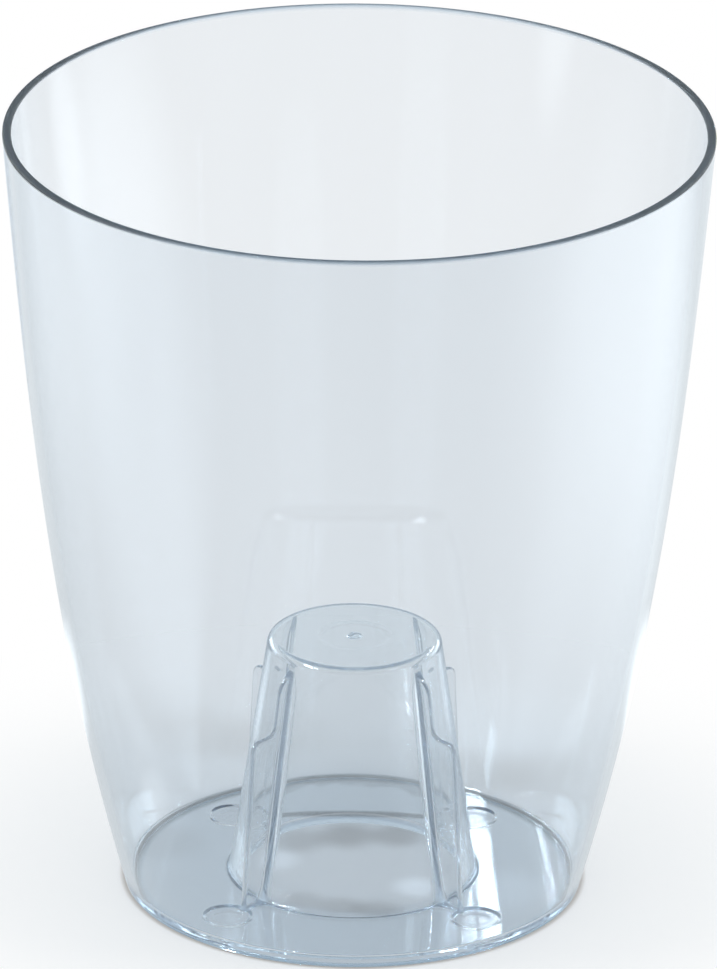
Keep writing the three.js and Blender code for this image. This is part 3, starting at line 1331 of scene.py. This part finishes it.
@dataclass
class Studio:
    """The white table, the lamps, the world and the camera, in metres, degrees and watts.

    The pools are painted pools of light on the table, which only the gloss mirrors. The caustics are
    painted light and shade, standing for what the pot throws on the table, and are seen through it.
    The contact is a painted dark line under the standing edge, standing for its shadow: its radius,
    half width and the share of light that it keeps.
    """

    table_size: float = 8.0
    table_tone: Tone = (0.577, 0.508, 0.444)
    table_lift: Tone = (0.5, 0.56, 0.615)
    mirrored_table: float = 0.74
    mirrored_table_tone: Tone = (0.92, 0.97, 1.0)
    # Painted pools of light on the table, seen only in the pot's gloss.
    pools: tuple[Pool, ...] = (
        (0.33, 0.02, 0.3, 1.1),
        (-0.33, 0.08, 0.2, 0.35),
        (0.0, 0.6, 0.7, 0.2),
        (0.35, 0.24, 0.1, 0.8),
        (-0.062, 0.08, 0.035, 0.5),
        (0.063, 0.084, 0.035, 0.5),
        (-0.07, -0.021, 0.013, 0.4),
        (-0.083, -0.021, 0.022, 0.16),
        (-0.062, -0.027, 0.018, 0.2),
        (-0.55, -0.19, 0.1, 0.7),
        (-0.9, -0.3, 0.2, 0.7),
        (-1.9, -0.6, 0.5, 0.7),
    )
    # Painted light and shade that stand for the pot's caustics and shadows on the table.
    caustics: tuple[Pool, ...] = (
        (-0.041, 0.073, 0.018, -0.13),
        (-0.03, 0.062, 0.016, -0.16),
        (-0.016, 0.061, 0.016, -0.12),
        (0.024, 0.045, 0.015, -0.16),
        (0.037, 0.045, 0.015, -0.14),
        (0.03, 0.07, 0.03, 0.16),
        (-0.01, 0.0143, 0.0072, -0.3),
        (-0.001, 0.0167, 0.0078, -0.42),
        (0.0085, 0.017, 0.0072, -0.4),
        (-0.009, -0.0115, 0.006, -0.22),
        (-0.002, -0.0138, 0.006, -0.28),
        (0.0045, -0.0155, 0.0065, -0.32),
        (0.0115, -0.005, 0.006, 0.4),
        (-0.014, 0.006, 0.006, 0.25),
        (0.027, -0.008, 0.012, 0.2),
        (-0.035, 0.011, 0.011, -0.2),
    )
    # Painted contact shadow: a dark ring on the table under the standing edge.
    contact: tuple[float, float, float] = (0.0401, 0.0022, 0.3)
    shadow_reach: Span = (0.055, 0.115)
    world_tone: Tone = (0.95, 0.985, 1.0)
    world_strength: float = 0.72
    dome: Dome = Dome()
    mirrored_tone: Tone = (0.86, 0.955, 1.0)
    glows: tuple[Glow, ...] = (
        Glow(-101.5, 46.0, 3.7, 8.0, 75.0, -45.0),
        Glow(-116.5, 45.0, 2.6, 4.0, 40.0),
        Glow(-52.0, 38.0, 8.0, 5.0, 1.4),
        Glow(-111.0, 2.5, 2.2, 6.0, 3.2),
        Glow(117.0, 42.0, 4.0, 10.0, 5.0),
        Glow(-42.0, 11.0, 17.0, 10.0, 2.6),
        Glow(44.0, 9.0, 17.0, 10.0, 2.6),
    )
    lamp_distance: float = 1.3
    lamp_aim: float = 0.03
    lamp_height: float = 50.0
    lamp_turn: float = 13.4
    lamp_size: Span = (0.5, 0.6)
    lamp_power: float = 2.6
    aim: tuple[float, float, float] = (0.00043, 0.00026, 0.0756)
    distance: float = 2.6
    elevation: float = 22.734
    roll: float = 0.539
    lens: float = 542.9
    sensor: float = 36.0
    clip: Span = (0.1, 100.0)
    bounces: int = 96

    def table_material(self) -> bpy.types.Material:
        """Builds the table's look: it keeps the pot's shadow nearby and is plain white further off.

        Rays that the pot has mirrored see the painted pools of light instead.

        Returns:
            The material.
        """
        made = bpy.data.materials.new("white_table")
        made.use_nodes = True
        graph = Graph(made.node_tree)
        made.node_tree.nodes.remove(made.node_tree.nodes["Principled BSDF"])
        seen, mirrored, indirect = graph.sight()
        place = graph.node("TexCoord", {}).outputs["Object"]
        gap = graph.length(place)
        # Painted light and shade standing for the pot's caustics and shadows, seen only through the pot.
        caustics_tree = pools_group("table_caustics", 0.0, self.caustics)
        cast = graph.node("Group", {"Place": place}, node_tree=caustics_tree)
        cast = graph.math("ADD", graph.math("MULTIPLY", cast.outputs["Strength"], indirect), 1.0)
        # Painted contact shadow: the glow is dimmed in a thin ring under the standing edge.
        radius, width, kept = self.contact
        touch = graph.math("ABSOLUTE", graph.math("SUBTRACT", gap, radius))
        touch = graph.eased(touch, (LINE_CORE * width, width), (kept, 1.0))
        lift = graph.scaled(self.table_lift, graph.math("MULTIPLY", cast, touch))
        matt = graph.node("BsdfDiffuse", {"Color": (*self.table_tone, 1.0)})
        glow = graph.node("Emission", {"Color": lift, "Strength": seen})
        near = graph.node("AddShader", {0: matt.outputs[0], 1: glow.outputs[0]})
        away = graph.eased(gap, self.shadow_reach)
        straight = graph.shader_mix(graph.math("MULTIPLY", away, seen), near, graph.node("Emission", {}))
        # Painted pools of light that only the pot's gloss mirrors.
        pools_tree = pools_group("table_pools", self.mirrored_table, self.pools)
        pools = graph.node("Group", {"Place": place}, node_tree=pools_tree).outputs["Strength"]
        lit = graph.node("Emission", {"Color": graph.scaled(self.mirrored_table_tone, pools)})
        surface = graph.shader_mix(mirrored, straight, lit).outputs[0]
        graph.join(made.node_tree.nodes["Material Output"], {"Surface": surface})
        return made

    def table(self) -> bpy.types.Object:
        """Makes the table, a square plane at Z = 0.

        Returns:
            The table.
        """
        half = self.table_size / 2.0
        corners = [(-half, -half, 0.0), (half, -half, 0.0), (half, half, 0.0), (-half, half, 0.0)]
        mesh = bpy.data.meshes.new("table_top")
        mesh.from_pydata(corners, [], [(0, 1, 2, 3)])
        mesh.materials.append(self.table_material())
        table = placed("table_top", mesh)
        return table

    def world(self) -> bpy.types.World:
        """Makes the world: soft light, seen as plain white, with the studio's glows in the gloss.

        Returns:
            The world.
        """
        world = bpy.data.worlds.new("soft_studio")
        world.use_nodes = True
        graph = Graph(world.node_tree)
        soft = world.node_tree.nodes["Background"]
        graph.join(soft, {"Color": (*self.world_tone, 1.0), "Strength": self.world_strength})
        seen, mirrored, _ = graph.sight()
        way = graph.node("TexCoord", {}).outputs["Generated"]
        lights = graph.node("Group", {"Direction": way}, node_tree=mirrored_group(self.glows, self.dome))
        glowing = graph.scaled(self.mirrored_tone, lights.outputs["Strength"])
        tone = graph.mix(mirrored, (1.0, 1.0, 1.0, 1.0), glowing)
        surface = graph.shader_mix(seen, soft, graph.node("Background", {"Color": tone})).outputs[0]
        graph.join(world.node_tree.nodes["World Output"], {"Surface": surface})
        bpy.context.scene.world = world
        return world

    def softbox(self, side: Side) -> bpy.types.Object:
        """Hangs a small softbox high beside the pot, turned a little to the front.

        It lights the table and doesn't show itself.

        Args:
            side: The side it hangs on.

        Returns:
            The lamp.
        """
        lift, turn = math.radians(self.lamp_height), math.radians(self.lamp_turn)
        away = Vector(
            (side.value * math.cos(lift) * math.cos(turn), -math.cos(lift) * math.sin(turn), math.sin(lift))
        )
        data = bpy.data.lights.new(f"softbox_{side.name.lower()}", "AREA")
        data.shape = "RECTANGLE"
        data.size, data.size_y = self.lamp_size
        data.energy = self.lamp_power
        lamp = placed(data.name, data)
        lamp.location = Vector((0.0, 0.0, self.lamp_aim)) + away * self.lamp_distance
        lamp.rotation_mode = "QUATERNION"
        lamp.rotation_quaternion = away.to_track_quat("Z", "Y")
        lamp.visible_camera = lamp.visible_glossy = lamp.visible_transmission = False
        return lamp

    def camera(self) -> bpy.types.Object:
        """Sets the camera on its line of sight to the aim, rolled as the photo is.

        Returns:
            The camera.
        """
        lift, roll = math.radians(self.elevation), math.radians(self.roll)
        back = Vector((0.0, -math.cos(lift), math.sin(lift)))
        level_right = Vector((1.0, 0.0, 0.0))
        level_up = Vector((0.0, math.sin(lift), math.cos(lift)))
        right = level_right * math.cos(roll) + level_up * math.sin(roll)
        up = level_up * math.cos(roll) - level_right * math.sin(roll)
        data = bpy.data.cameras.new("studio_camera")
        data.lens = self.lens
        data.sensor_width = self.sensor
        data.clip_start, data.clip_end = self.clip
        place = Matrix((right, up, back)).transposed().to_4x4()
        place.translation = Vector(self.aim) + back * self.distance
        camera = placed(data.name, data)
        camera.matrix_world = place
        bpy.context.scene.camera = camera
        return camera

    def build(self) -> None:
        """Sets up the whole studio, its plain colour handling and its many clear bounces."""
        scene = bpy.context.scene
        scene.view_settings.view_transform = "Standard"
        scene.cycles.max_bounces = self.bounces
        scene.cycles.transmission_bounces = self.bounces
        scene.cycles.glossy_bounces = self.bounces
        scene.cycles.sample_clamp_indirect = 0.0
        self.camera()
        self.table()
        self.world()
        for side in Side:
            self.softbox(side)


def main() -> None:
    """Builds the studio and the pot."""
    logging.basicConfig(level=logging.INFO, format="%(message)s")
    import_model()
    studio = Studio()
    studio.build()
    LOG.info("studio ready, camera %.2f m away", studio.distance)
    pot = Moulding().build()
    LOG.info("%s dressed in %s", pot.name, pot.data.materials[0].name)


if __name__ == "__main__":
    main()
